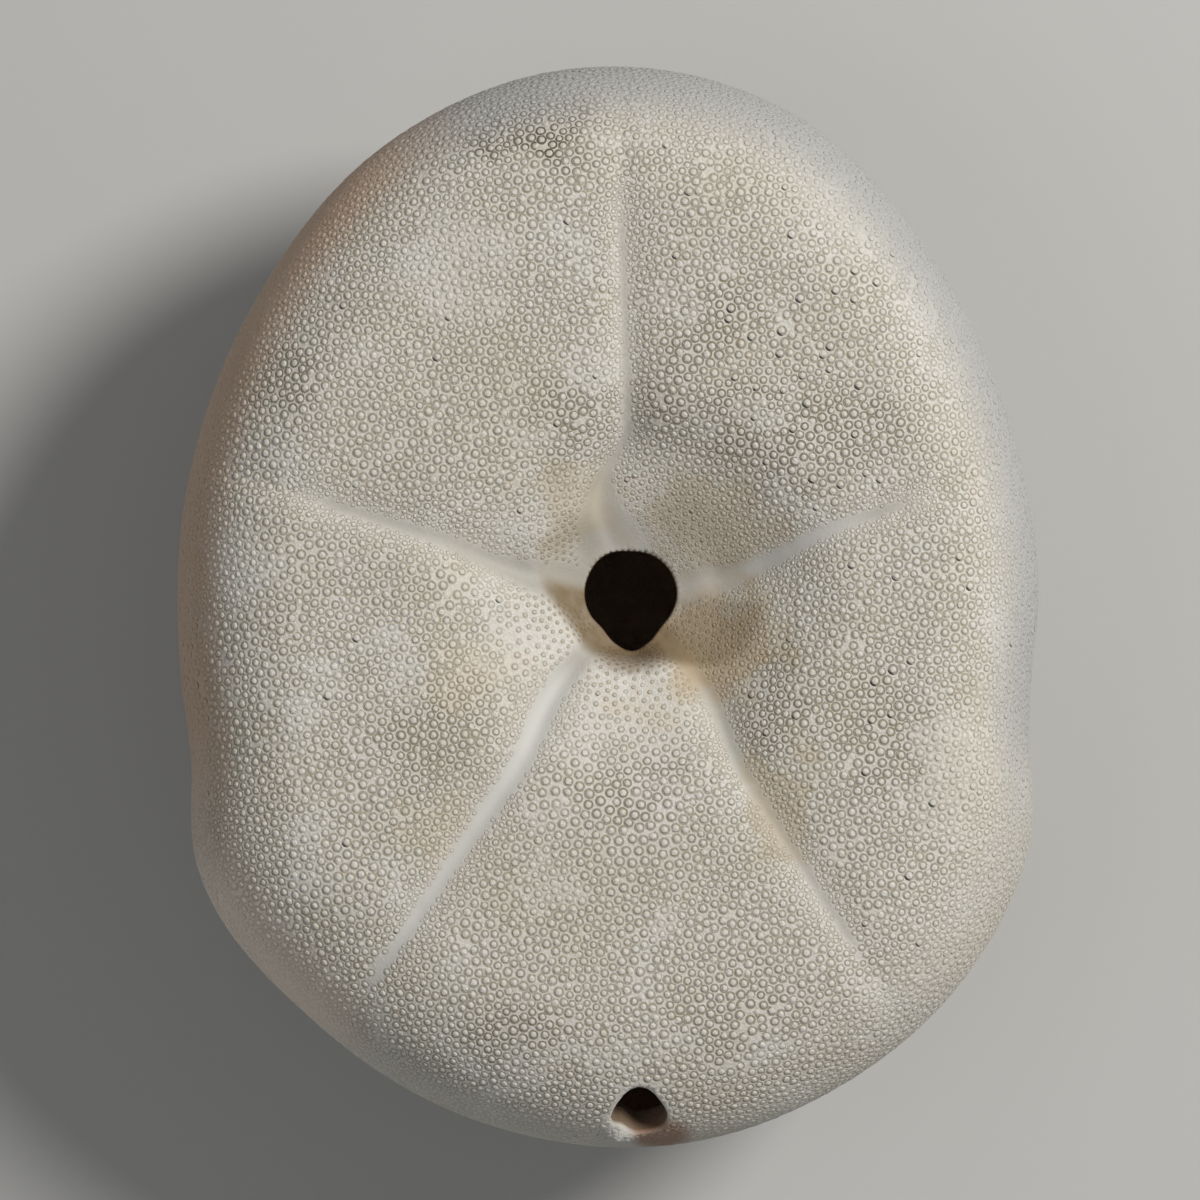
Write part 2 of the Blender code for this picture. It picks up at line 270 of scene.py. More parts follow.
def spacing(angle, share, points):
    radius = mouth_radius_of(points)
    way = radius / rim(angle)
    wide = pad_spacing + (edge_spacing - pad_spacing) * smooth((way - 0.8) / 0.15)
    rear = np.hypot(points[:, 0] - 1.0, points[:, 1] + 22.0)
    wide = wide * (1.0 + 0.2 * smooth(1.6 - rear / 8.0))
    outward = smooth((way - 0.72) / 0.15)
    beside = smooth((groove_gap(angle, radius) + 0.8) / 4.5) * (1 - outward) + outward
    oral = groove_spacing + (wide - groove_spacing) * np.clip(beside, 0.0, 1.0)
    shoulder = closed_curve(lip_outline, np.degrees(angle))
    oral = oral + (np.minimum(oral, funnel_spacing) - oral) * smooth((shoulder + 4.0 - radius) / 4.0)
    below = look_up(widest_share, angle)
    return oral + (dome_spacing - oral) * smooth((share - below - 0.01) / 0.08)


vent_angle = math.atan2(vent_at[1] - mouth_at[1], vent_at[0] - mouth_at[0])
vent_reach = math.hypot(vent_at[0] - mouth_at[0], vent_at[1] - mouth_at[1])
vent_level = float(oral_height(np.array([vent_angle]), np.array([vent_reach]))[0])
vent_spot = np.array([*vent_at, vent_level]) - origin
vent_up = np.array([0.0, math.cos(vent_slope), math.sin(vent_slope)])
vent_out = np.array([0.0, -math.sin(vent_slope), math.cos(vent_slope)])


def vent_distance(points):
    """Distance from the middle of the anal opening, 1 on its edge."""
    away = points - vent_spot
    up = away @ vent_up
    elsewhere = np.where(np.abs(away @ vent_out) > 6.0, 9.0, 0.0)
    return np.hypot(away[:, 0] / vent_half, up / np.where(up > 0.0, vent_high, vent_low)) + elsewhere


# Fixed places: the edge of the mouth, the edge of the anal opening, a row below the rim, pores, dome middle
mouth_count, vent_count = 160, 36
turn = np.linspace(0.0, 2 * np.pi, mouth_count, endpoint=False)
mouth_edge = (turn, np.full(mouth_count, 0.0))
turn = np.linspace(0.0, 2 * np.pi, vent_count, endpoint=False)
# A swelling of the lip at the lower left narrows the opening, and its top is arched
lip_swell = 1.0 - 0.5 * np.exp(-((turn - math.radians(228)) / 0.45) ** 2)
vent_rise = np.sin(turn) * np.where(np.sin(turn) > 0.0, vent_high, vent_low * lip_swell)
vent_side = vent_half * np.cos(turn) * (1.0 - 0.2 * np.clip(np.sin(turn), 0.0, 1.0))
target = vent_spot + vent_side[:, None] * np.array([1.0, 0.0, 0.0]) + vent_rise[:, None] * vent_up
fine_angle = np.linspace(vent_angle - 0.14, vent_angle + 0.14, 220)
fine_share = np.linspace(0.3, 0.62, 500)
patch_angle, patch_share = [part.ravel() for part in np.meshgrid(fine_angle, fine_share, indexing="ij")]
patch = look_up(surface, patch_angle, patch_share)
patch_flat = np.stack([patch[:, 0] - vent_spot[0], (patch - vent_spot) @ vent_up], -1)
elsewhere = np.where(np.abs((patch - vent_spot) @ vent_out) > 5.0, 99.0, 0.0)
nearest = []
for goal in target:
    goal_side, goal_up = goal[0] - vent_spot[0], (goal - vent_spot) @ vent_up
    gap = np.hypot(patch_flat[:, 0] - goal_side, patch_flat[:, 1] - goal_up)
    nearest.append(int(np.argmin(gap + elsewhere)))
vent_edge = (patch_angle[nearest], patch_share[nearest])
seam_share = widest_share + seam_below_rim / length
seam_points = look_up(surface, grid_angle, seam_share)
seam_run = np.concatenate([[0.0], np.cumsum(np.linalg.norm(np.diff(seam_points, axis=0), axis=1))])
seam_count = int(seam_run[-1] / seam_spacing)
seam_angle = np.interp(np.linspace(0.0, seam_run[-1], seam_count, endpoint=False), seam_run, grid_angle)
seam_row = (seam_angle, look_up(seam_share, seam_angle))
# Each side of each petal has two rows of pores, in pairs
pore_angle, pore_share = [], []
pore_step, pore_row = 0.034, 0.85
dome_share = np.linspace(0.45, 1.0, 400)
for _, outer, *_ in grooves:
    petal_reach = petal_length * float(rim(np.array([math.radians(outer)]))[0])
    for ahead in np.arange(0.2, 0.98, pore_step):
        half = petal_width * np.interp(ahead, petal_way, petal_share)
        for sign in (-1, 1):
            for row in (-1.0, 1.0):
                reach, side = ahead * petal_reach, sign * (pore_line * half + row * pore_row)
                around = math.radians(outer) + math.atan2(side, reach)
                way = math.hypot(reach, side) / float(rim(np.array([around]))[0])
                down = look_up(surface, np.full(len(dome_share), around), dome_share)
                radii = np.hypot(*(down[:, :2] + origin[:2] - mouth_at * way).T)
                pore_angle.append(around % (2 * np.pi))
                pore_share.append(float(np.interp(-math.hypot(reach, side), -radii, dome_share)))
pores = (np.array(pore_angle), np.array(pore_share))
fixed = [mouth_edge, vent_edge, seam_row, pores, (np.zeros(1), np.ones(1))]
EDGE, VENT, SEAM, PORE, APEX, FREE = range(6)
fixed_angle, fixed_share = np.concatenate(fixed, axis=1)
origin_kind = np.concatenate([np.full(len(f[0]), kind) for kind, f in enumerate(fixed)])

# Free places are drawn by the area that one tubercle needs, then pushed apart until they lie evenly
packed_area, filling, passes, push_share = 0.866, 0.97, 34, 0.28
cells = np.meshgrid(grid_angle[:-1] + math.pi / grid_turns, (even[:-1] + even[1:]) / 2, indexing="ij")
cell_angle, cell_share = [part.ravel() for part in cells]
cell_point = look_up(surface, cell_angle, cell_share)
sideways, onward = tangents(cell_angle, cell_share)
cell_area = np.linalg.norm(np.cross(sideways, onward), axis=1) * (2 * np.pi / grid_turns) / grid_steps
wanted = cell_area / (packed_area * spacing(cell_angle, cell_share, cell_point) ** 2)
wanted[vent_distance(cell_point) < 1.1] = 0.0
count = int(wanted.sum() * filling) - len(fixed_angle)
picked = rng.choice(len(wanted), size=count, replace=False, p=wanted / wanted.sum())
drawn_angle = cell_angle[picked] + rng.uniform(-0.5, 0.5, count) * 2 * np.pi / grid_turns
drawn_share = cell_share[picked] + rng.uniform(-0.5, 0.5, count) / grid_steps
place_angle = np.concatenate([fixed_angle, drawn_angle])
place_share = np.concatenate([fixed_share, drawn_share])
place_kind = np.concatenate([origin_kind, np.full(count, FREE)])
own_size = rng.uniform(0.8, 1.2, len(place_angle))


def neighbours(points, count):
    tree = kdtree.KDTree(len(points))
    for index, point in enumerate(points):
        tree.insert(point, index)
    tree.balance()
    found = [tree.find_n(point, count + 1) for point in points]
    return np.array([[entry[1] for entry in row] for row in found])[:, 1:]


free = place_kind == FREE
for round_number in range(passes):
    points = look_up(surface, place_angle, place_share)
    want = spacing(place_angle, place_share, points) * own_size
    if round_number % 2 == 0:
        near = neighbours(points, 8)
    apart = points[:, None] - points[near]
    gap = np.maximum(np.linalg.norm(apart, axis=2), 1e-4)
    aim = 0.5 * (want[:, None] + want[near]) * 1.1
    push = (apart / gap[..., None] * np.maximum(aim - gap, 0.0)[..., None]).sum(axis=1) * push_share
    sideways, onward = tangents(place_angle, place_share)
    turn_by = (push * sideways).sum(axis=1) / np.maximum((sideways ** 2).sum(axis=1), 0.5)
    way_by = (push * onward).sum(axis=1) / (onward ** 2).sum(axis=1)
    place_angle = np.where(free, np.mod(place_angle + np.clip(turn_by, -0.2, 0.2), 2 * np.pi), place_angle)
    place_share = np.where(free, np.clip(place_share + way_by, 0.002, 0.998), place_share)

# Places that are still crowded, in the opening or on the dome's middle are taken out
points = look_up(surface, place_angle, place_share)
want = spacing(place_angle, place_share, points)
near = neighbours(points, 6)
gaps = np.linalg.norm(points[:, None] - points[near], axis=2)
crowded = free & (gaps[:, 0] < 0.5 * want) & (near[:, 0] < np.arange(len(points)))
crowded |= free & (vent_distance(points) < 1.0)
crowded |= free & (place_share < 0.3 / look_up(length, place_angle))
keep = ~crowded
place_angle, place_share, place_kind = place_angle[keep], place_share[keep], place_kind[keep]


def swollen(points):
    """Surface points with the swollen lip at the lower left of the anal opening."""
    far = np.linalg.norm(points - (vent_spot + (-2.3, 0.0, 0.0) - 3.3 * vent_up), axis=1)
    return points + (1.4 * vent_out + 0.5 * vent_up) * np.exp(-(far / 1.6) ** 2)[:, None]


points = swollen(look_up(surface, place_angle, place_share))
near = neighbours(points, 6)
room = np.linalg.norm(points[:, None] - points[near], axis=2).mean(axis=1)
total = len(points)

# Two flat maps of the outside, round the mouth and round the dome's middle, meet at the row below the rim
place_way = np.stack([np.cos(place_angle), np.sin(place_angle)], -1)
oral_map = (mouth(place_angle) + place_share * look_up(length, place_angle))[:, None] * place_way
dome_map = ((1 - place_share) * look_up(length, place_angle))[:, None] * place_way
seam_here = look_up(seam_share, place_angle)
on_oral = (place_share < seam_here) | (place_kind == SEAM)
on_dome = (place_share > seam_here) | (place_kind == SEAM)


def inside_loop(spots, loop):
    """Even-odd test of many spots against one closed loop."""
    odd = np.zeros(len(spots), bool)
    for (x0, y0), (x1, y1) in zip(loop, np.roll(loop, -1, axis=0)):
        crosses = (y0 > spots[:, 1]) != (y1 > spots[:, 1])
        meet = x0 + (spots[:, 1] - y0) / (y1 - y0 + 1e-12) * (x1 - x0)
        odd ^= crosses & (spots[:, 0] < meet)
    return odd


def triangles_of(flat, member, loops, holes):
    """Delaunay triangles of the member places in a flat map, inside the last loop and outside the holes."""
    index = np.flatnonzero(member)
    position = {int(g): k for k, g in enumerate(index)}
    edges = [(position[int(a)], position[int(b)]) for loop in loops for a, b in zip(loop, np.roll(loop, -1))]
    out = geometry.delaunay_2d_cdt([Vector(flat[g]) for g in index], edges, [], 0, 1e-6)
    source = [ids[0] if ids else -1 for ids in out[3]]
    faces = np.array([[source[v] for v in face] for face in out[2]])
    faces = index[faces[(faces >= 0).all(axis=1)]]
    middle = flat[faces].mean(axis=1)
    good = inside_loop(middle, flat[loops[-1]])
    for hole in holes:
        good &= ~inside_loop(middle, flat[hole])
    return faces[good]


mouth_loop = np.flatnonzero(place_kind == EDGE)
vent_loop = np.flatnonzero(place_kind == VENT)
seam_loop = np.flatnonzero(place_kind == SEAM)
oral_faces = triangles_of(oral_map, on_oral, [mouth_loop, vent_loop, seam_loop], [mouth_loop, vent_loop])
dome_faces = triangles_of(dome_map, on_dome, [seam_loop], [])
faces = np.concatenate([oral_faces, dome_faces])
sideways, onward = tangents(place_angle, place_share)
normal = unit(np.cross(onward, sideways))
normal[place_kind == APEX] = (0.0, 0.0, -1.0)
facing = np.cross(points[faces[:, 1]] - points[faces[:, 0]], points[faces[:, 2]] - points[faces[:, 0]])
flipped = (facing * normal[faces].sum(axis=1)).sum(axis=1) < 0
faces[flipped] = faces[flipped][:, ::-1]

# What stands at each place: nothing, a ringed tubercle or a pore
# Tubercles are small round the mouth and beside the grooves, and worn low on the right of the rim.
SMOOTH, RINGED, PORED = range(3)
radius_here = mouth_radius_of(points)
way_here = radius_here / rim(place_angle)
on_top = place_share < look_up(widest_share, place_angle)
bare = bareness(place_angle, points, place_share)
stands = np.full(total, RINGED)
stands[bare > rng.uniform(0.4, 0.75, total)] = SMOOTH
stands[(place_kind == EDGE) | (place_kind == VENT) | (place_kind == APEX)] = SMOOTH
stands[place_kind == PORE] = PORED
grown = np.where(on_top, 0.21 + 0.34 * smooth((radius_here - 6.0) / 16.0), 0.85)
ring = np.minimum(0.43 * room * rng.uniform(0.88, 1.08, total), grown) * (1 - 0.3 * bare)
ring = np.where(stands == PORED, 0.42, ring)
worn_right = smooth((way_here - 0.8) / 0.16) * smooth((np.cos(place_angle - 0.3) + 0.1) / 0.5)
worn = np.maximum(worn_right, smooth((way_here - 0.93) / 0.05)) * on_top
near_mouth = smooth((22.0 - radius_here) / 13.0)
dotted = smooth((16.0 - radius_here) / 8.0) * on_top * (stands == RINGED)
beside_groove = np.exp(-groove_gap(place_angle, radius_here) / 1.6) * smooth((0.8 - way_here) / 0.1)
faint = np.clip(0.7 * near_mouth + 0.5 * beside_groove + 0.8 * worn, 0.0, 0.85) * on_top
tone = rng.uniform(0.0, 1.0, total)
fall_here = closed_curve(lip_depth, np.degrees(place_angle))
lip_here = closed_curve(lip_outline, np.degrees(place_angle))
# How much brown the steep walls into the mouth get, partly stain and partly painted shade; less above the
# mouth
steep = smooth((lip_here + 0.6 - radius_here) / 2.2) * np.clip((fall_here - 1.0) / 2.4, 0.0, 1.0) * on_top
steep *= 0.3 + 0.7 * smooth((place_angle - math.radians(160)) / 0.3)
below_rim = (place_share - look_up(widest_share, place_angle)) / 0.22
margin = np.where(on_top, smooth((way_here - 0.86) / 0.11), 1 - smooth(below_rim))

# Specks of dark grit caught in some rings, most of them on the two right-hand pads
grit = np.concatenate([
    rng.normal((22.0, 26.0), (10.0, 10.0), (34, 2)), rng.normal((32.0, -12.0), (7.0, 14.0), (18, 2)),
    rng.normal((-14.0, 18.0), (16.0, 16.0), (12, 2)), rng.uniform(-38.0, 38.0, (10, 2)),
])
upper = np.flatnonzero((stands == RINGED) & on_top)
specked = np.zeros(total)
specked[upper[[int(np.argmin(np.hypot(*(points[upper, :2] - spot).T))) for spot in grit]]] = 1.0

# The skin of the shell, outside
# Every place gets its own facets out to the ridges between neighbours, so each tubercle of the one grown
# piece stands in a shallow dish.
across = unit(np.cross(np.where(np.abs(normal[:, 1:2]) > 0.9, (0.0, 0.0, -1.0), (0.0, 1.0, 0.0)), normal))
upward = np.cross(normal, across)
start, end = faces.T.ravel(), faces.T[[1, 2, 0]].ravel()
middle_of = total + np.tile(np.arange(len(faces)), 3)
key, back_key = start * total + end, end * total + start
order = np.argsort(key)
at = order[np.minimum(np.searchsorted(key[order], back_key), len(key) - 1)]
paired = key[at] == back_key

around = place_angle[faces]
around = around[:, :1] + (around - around[:, :1] + np.pi) % (2 * np.pi) - np.pi
middle = swollen(look_up(surface, around.mean(axis=1), place_share[faces].mean(axis=1)))
near_apex = place_share[faces].max(axis=1) > 0.985
middle = np.where(near_apex[:, None], points[faces].mean(axis=1), middle)
ridge_height, dish_depth, pore_depth = 0.05, 0.2, 0.3
raised = ridge_height * (stands[faces] == RINGED).mean(axis=1) * rng.uniform(0.2, 1.6, len(faces))
middle = middle + unit(normal[faces].sum(axis=1)) * raised[:, None]
sunk = np.where(stands == RINGED, -dish_depth * ring * (1 - 0.5 * faint), 0.0)
sunk = np.where(stands == PORED, -pore_depth, sunk)
skin_points = np.concatenate([points + normal * sunk[:, None], middle])

# Fine teeth on the front of the mouth's edge
teeth = np.where(np.arange(mouth_count) % 3 == 0, 0.13, -0.05) * rng.uniform(0.6, 1.2, mouth_count)
teeth *= 0.2 + np.clip(np.sin(place_angle[mouth_loop]), 0.0, 1.0)
edge_angle = place_angle[mouth_loop]
skin_points[mouth_loop, :2] += teeth[:, None] * np.stack([np.cos(edge_angle), np.sin(edge_angle)], -1)
skin_faces = np.concatenate([np.stack([start, middle_of[at], middle_of], -1)[paired],
                             np.stack([start, end, middle_of], -1)[~paired]])
skin_owner = np.concatenate([start[paired], start[~paired]])


def carry(values):
    """A value of the places carried to the ridges between them."""
    return np.concatenate([values, values[faces].mean(axis=1)])


# The right-hand strip of the bake map is for the dome and the inside
strip_left, strip_width = 0.7, 0.29


def placed(flat, left, bottom, width, height):
    """A flat map brought evenly into a rectangle of the bake map."""
    low, high = flat.min(axis=0), flat.max(axis=0)
    return (left, bottom) + (flat - low) * min(width / (high - low)[0], height / (high - low)[1])


corner = skin_faces.ravel()
corner_owner = np.repeat(skin_owner, 3)
owner_oral = on_oral[corner_owner]
bake_uv = np.empty((len(corner), 2))
bake_uv[owner_oral] = placed(carry(oral_map)[corner][owner_oral], 0.01, 0.01, 0.68, 0.86)
bake_uv[~owner_oral] = placed(carry(dome_map)[corner][~owner_oral], strip_left, 0.01, strip_width, 0.4)

# A second map measures from each tubercle's middle, in radii of its ring; far off means there is no ring
no_ring = 4.0
off = skin_points[corner] - points[corner_owner]
local_uv = np.stack([(off * across[corner_owner]).sum(axis=1), (off * upward[corner_owner]).sum(axis=1)], -1)
local_uv /= ring[corner_owner][:, None]
local_uv[(stands == SMOOTH)[corner_owner]] = no_ring


def mesh_of(name, points_mm, triangles):
    data = bpy.data.meshes.new(name)
    data.vertices.add(len(points_mm))
    data.vertices.foreach_set("co", (points_mm * 0.001).astype(np.float32).ravel())
    data.loops.add(triangles.size)
    data.loops.foreach_set("vertex_index", triangles.astype(np.int32).ravel())
    data.polygons.add(len(triangles))
    data.polygons.foreach_set("loop_start", np.arange(0, triangles.size, 3, dtype=np.int32))
    data.update(calc_edges=True)
    data.validate()
    data.polygons.foreach_set("use_smooth", np.ones(len(data.polygons), bool))
    return data


def corner_map(data, name, values):
    layer = data.uv_layers.new(name=name)
    layer.uv.foreach_set("vector", values.astype(np.float32).ravel())


def measure(data, name, domain, values):
    layer = data.attributes.new(name, "FLOAT", domain)
    layer.data.foreach_set("value", values.astype(np.float32))


# The inside of the shell
# The wall of the same piece is about 2.6 mm thick, thinner at the mouth. The hollow is smooth and dark, seen
# only through the two openings.
wall, mouth_wall = 2.6, 1.5


def off_by_wall(height, angle, radius, thick, sign):
    """Height of the inside face, a wall's thickness from the outside in every direction."""
    x, y = radius * np.cos(angle), radius * np.sin(angle)
    best = None
    for reach in (0.0, 0.35, 0.7, 0.9, 1.0):
        for around in np.radians(np.arange(0, 360, 30 if reach else 360)):
            near_x, near_y = x + reach * thick * np.cos(around), y + reach * thick * np.sin(around)
            a = np.arctan2(near_y, near_x)
            r = np.minimum(np.hypot(near_x, near_y), rim(a))
            z = height(a, r) - sign * thick * math.sqrt(1.0 - reach ** 2)
            best = z if best is None else (np.minimum(best, z) if sign > 0 else np.maximum(best, z))
    return best


def lining_row(radius, height, way=1.0):
    """A row of points round the mouth, or round a point on the way from it to the dome's middle."""
    return np.stack([mouth_at[0] * way - origin[0] + radius * np.cos(edge_angle),
                     mouth_at[1] * way - origin[1] + radius * np.sin(edge_angle), height], -1)


def bands(loops):
    """Triangles that join each loop of points to the next."""
    joined = []
    for upper, lower in zip(loops, loops[1:]):
        next_upper, next_lower = np.roll(upper, -1), np.roll(lower, -1)
        joined += [np.stack([upper, lower, next_upper], -1), np.stack([next_upper, lower, next_lower], -1)]
    return joined


def dome_at(angle, radius):
    return dome_height(angle, radius / rim(angle))


inside_radius = rim(edge_angle) - wall
edge_level = points[mouth_loop][:, 2]
rows = [lining_row(mouth(edge_angle) - inward, edge_level - down)
        for inward, down in ((0.12, 0.35), (0.16, 1.0), (0.1, 1.7))]
throat_rows = len(rows)
for radius in (6.9, 9.0, 12.0, 16.0, 21.0, 27.0):
    thick = mouth_wall + (wall - mouth_wall) * float(smooth((radius - 6.0) / 8.0))
    level = off_by_wall(oral_height, edge_angle, np.full(mouth_count, radius), thick, 1) - origin[2]
    if len(rows) == throat_rows:
        level = np.minimum(level, rows[-1][:, 2] - 0.2)
    rows.append(lining_row(radius, level))
for way in (0.68, 0.8, 0.9, 0.97, 1.0):
    radius = way * inside_radius
    rows.append(lining_row(radius, off_by_wall(oral_height, edge_angle, radius, wall, 1) - origin[2]))
for way in (0.94, 0.84, 0.72, 0.58, 0.42, 0.25, 0.1):
    radius = way * inside_radius
    rows.append(lining_row(radius, off_by_wall(dome_at, edge_angle, radius, wall, -1) - origin[2], way))
lining_points = np.concatenate(rows + [rows[-1].mean(axis=0, keepdims=True)])
skin_count = len(skin_points)
loops = [mouth_loop] + [skin_count + k * mouth_count + np.arange(mouth_count) for k in range(len(rows))]
floor_point = np.full(mouth_count, skin_count + len(lining_points) - 1)
lining_faces = np.concatenate(bands(loops) + [np.stack([loops[-1], floor_point, np.roll(loops[-1], -1)], -1)])
all_points = np.concatenate([skin_points, lining_points])

# The lining is opened where the anal opening goes through the wall, and the opening gets its own wall
tip = vent_spot - vent_out * wall
corners = all_points[lining_faces]
away = np.concatenate([corners, corners.mean(axis=1, keepdims=True)], axis=1) - tip
within_edge = np.hypot(away[..., 0] / (vent_half + 0.8), away @ vent_up / (vent_high + 0.8)) < 1.0
pierced = (within_edge & (np.abs(away @ vent_out) < 5.0)).any(axis=1)
lining_faces = lining_faces[~pierced]
lining_turn = np.arctan2(all_points[:, 1], all_points[:, 0]) / (2 * np.pi) + 0.5
lining_map = np.stack([strip_left + strip_width * lining_turn, 0.45 + all_points[:, 2] * 0.007], -1)
lining_map = lining_map[lining_faces.ravel()]
vent_loops = [vent_loop]
for deep, narrow in ((0.5, 0.97), (1.2, 0.93), (2.2, 0.92), (3.3, 0.96)):
    wall_row = vent_spot + (points[vent_loop] - vent_spot) * narrow - vent_out * deep
    vent_loops.append(len(all_points) + np.arange(vent_count))
    all_points = np.concatenate([all_points, wall_row])
vent_faces = np.concatenate(bands(vent_loops))
vent_left = strip_left + strip_width * np.arange(vent_faces.size) / vent_faces.size
vent_map = np.stack([vent_left, np.full(vent_faces.size, 0.85)], -1)

extra_faces = np.concatenate([lining_faces, vent_faces])
extra_points = len(all_points) - skin_count
shell_faces = np.concatenate([skin_faces, extra_faces])
shell_mesh = mesh_of("calcite_shell", all_points, shell_faces)
corner_map(shell_mesh, "OFBake", np.concatenate([bake_uv, lining_map, vent_map]))
corner_map(shell_mesh, "areole", np.concatenate([local_uv, np.full((extra_faces.size, 2), no_ring)]))

# How far within the hollow each row is, and how much brown stain and painted shade it gets: over 1 it is a
# wall of one of the openings, painted dark as shade
deep_rows = len(rows) - throat_rows
within = [np.zeros(skin_count), np.repeat([0.0, 0.0, 0.3] + [1.0] * deep_rows, mouth_count), [1.0],
          np.repeat([0.0, 0.0, 0.0, 0.2], vent_count)]
wall_brown_and_shade = [carry(steep), np.repeat([1.6, 2.0, 2.0] + [0.0] * deep_rows, mouth_count), [0.0],
              np.repeat([1.45, 1.5, 1.6, 1.7], vent_count)]
measure(shell_mesh, "within", "POINT", np.concatenate(within))
measure(shell_mesh, "steep", "POINT", np.concatenate(wall_brown_and_shade))
for name, values in (("bare", bare), ("margin", margin)):
    measure(shell_mesh, name, "POINT", np.concatenate([carry(values), np.zeros(extra_points)]))
of_each = [("tone", tone), ("faint", faint), ("dotted", dotted), ("speck", specked)]
for name, values in of_each + [("pored", stands == PORED)]:
    measure(shell_mesh, name, "FACE", np.concatenate([values[skin_owner], np.zeros(len(extra_faces))]))

# The last row of the opening's wall is joined to the edge of the hole in the lining
work = bmesh.new()
work.from_mesh(shell_mesh)
bmesh.ops.delete(work, geom=[spot for spot in work.verts if not spot.link_faces], context="VERTS")
bridged = bmesh.ops.bridge_loops(work, edges=[edge for edge in work.edges if edge.is_boundary])
walls = bmesh.ops.triangulate(work, faces=bridged["faces"])["faces"]
bake_layer, areole_layer = work.loops.layers.uv["OFBake"], work.loops.layers.uv["areole"]
for loop in [loop for face in walls for loop in face.loops]:
    away = np.array(loop.vert.co) * 1000 - vent_spot
    share = math.atan2(away @ vent_up, away[0]) / (2 * math.pi) + 0.5
    loop[bake_layer].uv = (strip_left + strip_width * share, 0.95 + 0.004 * float(away @ vent_out))
    loop[areole_layer].uv = (no_ring, no_ring)
bmesh.ops.recalc_face_normals(work, faces=work.faces[:])
work.to_mesh(shell_mesh)
work.free()
shell = shown("calcite_shell", shell_mesh)


# The finish of the shell: dry cream calcite
# Matt and mottled as it grew and dried, with a thin olive ring round each tubercle, partly dirt and partly
# painted shade; stained in patches, browner down by the mouth (partly stain, partly painted shade), and
# painted shade on the upper rim.
class Thread:
    """A value or colour on its way through a finish; sums of threads add the nodes that work them out."""

    def __init__(self, finish, socket):
        self.finish, self.socket = finish, socket

    def sum_with(self, operation, *values):
        return self.finish.add("ShaderNodeMath", {"operation": operation}, *values)

    def __add__(self, other):
        return self.sum_with("ADD", self, other)

    def __sub__(self, other):
        return self.sum_with("SUBTRACT", self, other)

    def __rsub__(self, other):
        return self.sum_with("SUBTRACT", other, self)

    def __mul__(self, other):
        return self.sum_with("MULTIPLY", self, other)

    __radd__, __rmul__ = __add__, __mul__

    def most(self, other):
        return self.sum_with("MAXIMUM", self, other)

    def out(self, name):
        return Thread(self.finish, self.socket.node.outputs[name])


class Finish:
    """A material whose nodes are added one by one."""

    def __init__(self, name):
        self.material = bpy.data.materials.new(name)
        self.material.use_nodes = True
        self.tree = self.material.node_tree
        self.shader = self.tree.nodes["Principled BSDF"]

    def add(self, kind, settings, *values, **named):
        node = self.tree.nodes.new(kind)
        for key, value in settings.items():
            setattr(node, key, value)
        for key, value in [*enumerate(values), *named.items()]:
            self.give(node.inputs[key], value)
        return Thread(self, next(out for out in node.outputs if out.enabled))

    def give(self, socket, value):
        if isinstance(value, Thread):
            self.tree.links.new(value.socket, socket)
        else:
            socket.default_value = value

    def band(self, value, low, high):
        """0 below low, 1 above high, smooth between; falls instead where low is above high."""
        settings = {"interpolation_type": "SMOOTHSTEP"}
        return self.add("ShaderNodeMapRange", settings, value, low, high, 0.0, 1.0)

    def blend(self, share, first, second):
        """The first colour with a share of the second over it."""
        node = self.add("ShaderNodeMix", {"data_type": "RGBA"}, share).socket.node
        for socket, colour in zip((node.inputs[6], node.inputs[7]), (first, second)):
            self.give(socket, colour if isinstance(colour, Thread) else (*colour, 1.0))
        return Thread(self, node.outputs[2])

    def layers(self, colour, *laid):
        """A colour with others laid over it in turn, each given with its share."""
        for share, tint in laid:
            colour = self.blend(share, colour, tint)
        return colour

    def noise(self, place, scale, detail=2.0):
        return self.add("ShaderNodeTexNoise", {}, Vector=place, Scale=scale, Detail=detail, Roughness=0.6)

    def measured(self, name):
        return self.add("ShaderNodeAttribute", {"attribute_name": name}).out("Fac")

    def vector(self, operation, *values):
        return self.add("ShaderNodeVectorMath", {"operation": operation}, *values)

    def spot(self, place, x, y, wide, high):
        """1 in the middle of an upright oval column at x, y (millimetres), 0 outside it."""
        near = self.vector("SUBTRACT", place, (x * 0.001, y * 0.001, 0.0))
        near = self.vector("MULTIPLY", near, (1000 / wide, 1000 / high, 0.0))
        return self.band(self.vector("LENGTH", near).out("Value"), 1.15, 0.45)

    def spots(self, place, first, *others):
        """The strongest of some spots, each given as x, y, width, height and share."""
        strongest = self.spot(place, *first[:4]) * first[4]
        for *where, share in others:
            strongest = strongest.most(self.spot(place, *where) * share)
        return strongest


